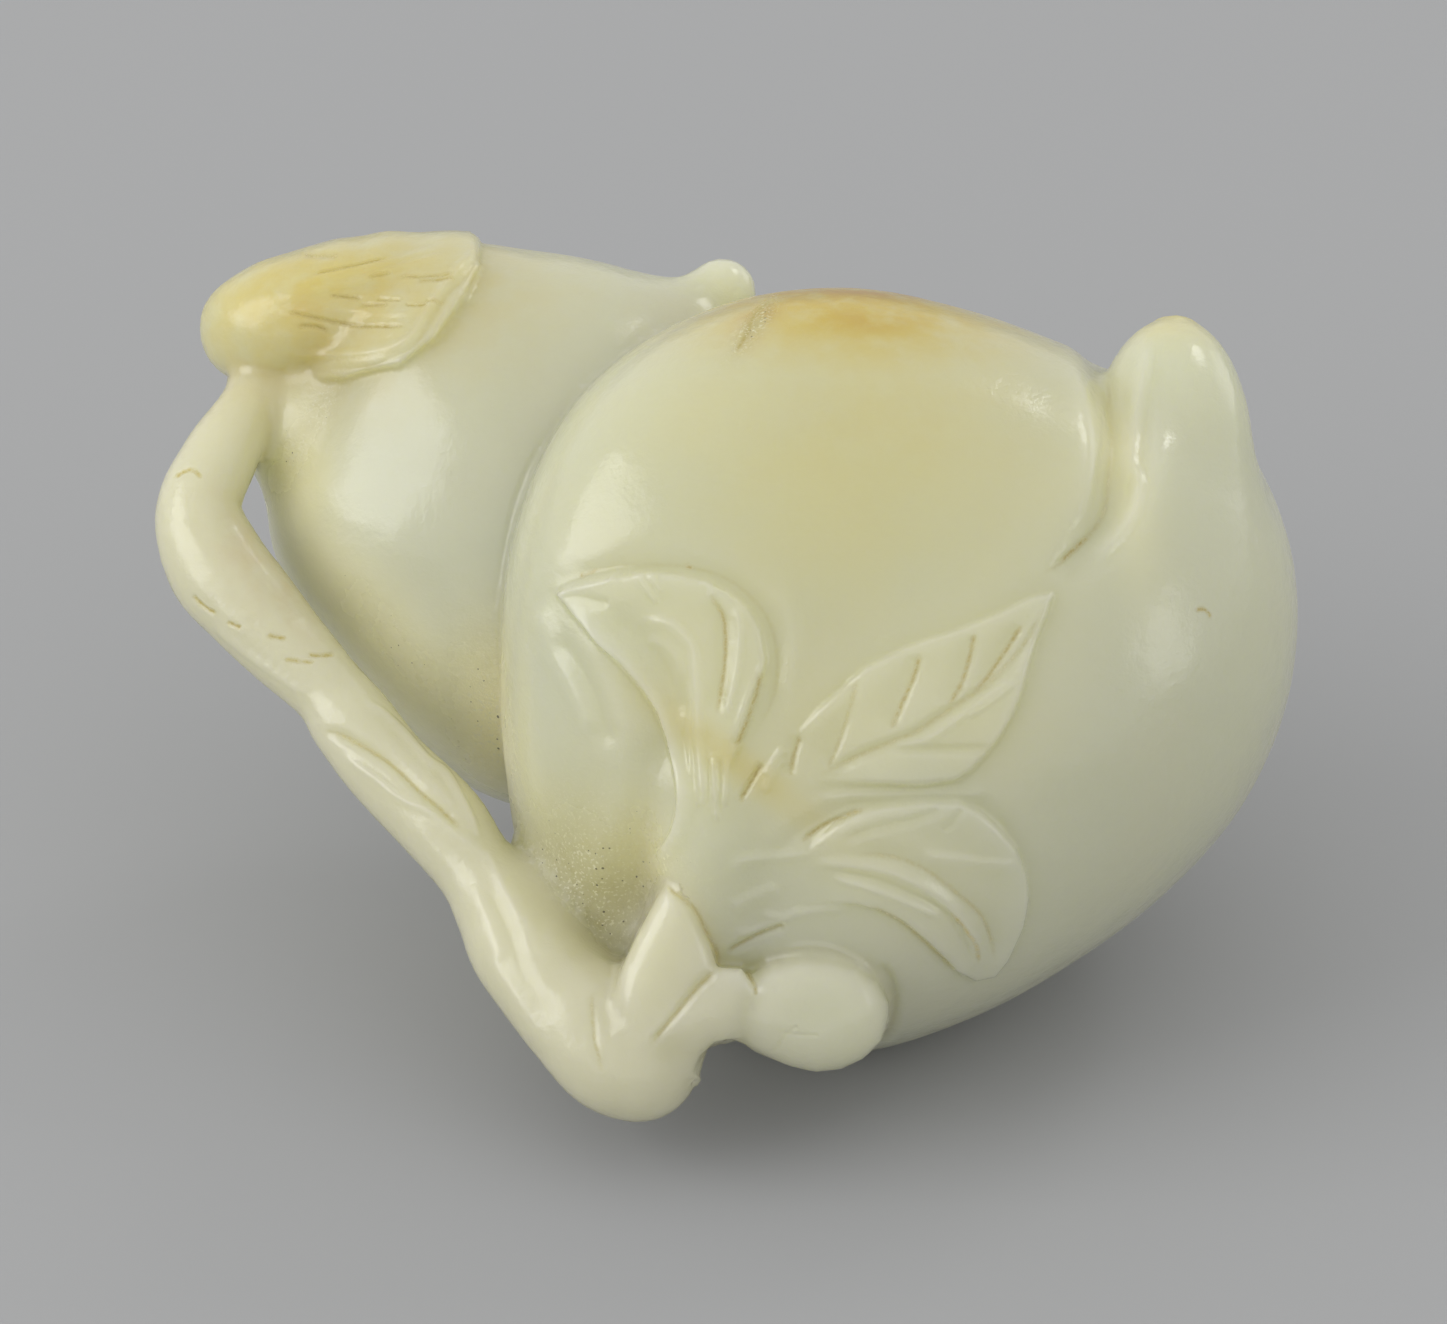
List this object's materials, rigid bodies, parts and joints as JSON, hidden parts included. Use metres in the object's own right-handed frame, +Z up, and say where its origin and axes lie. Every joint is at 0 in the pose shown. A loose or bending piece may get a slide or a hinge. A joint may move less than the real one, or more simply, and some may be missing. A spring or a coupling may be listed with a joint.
{
  "type": "jade peach pendant",
  "caption": "Pale jade pendant carved as a large and a small peach on a leafy branch that loops beside them.",
  "frame": {"origin": "on the table top, under the middle of the pendant's box as it lies", "axes": "+Z up, +X along the pendant's length towards the large peach's side, -Y towards the carved face"},
  "size_m": [0.0573, 0.0426, 0.0358],
  "materials": {
    "jade": "polished pale jade with a waxy gloss, stained yellow and russet in places"
  },
  "bodies": {
    "root": {"peach_pendant": "jade"}
  },
  "joints": []
}
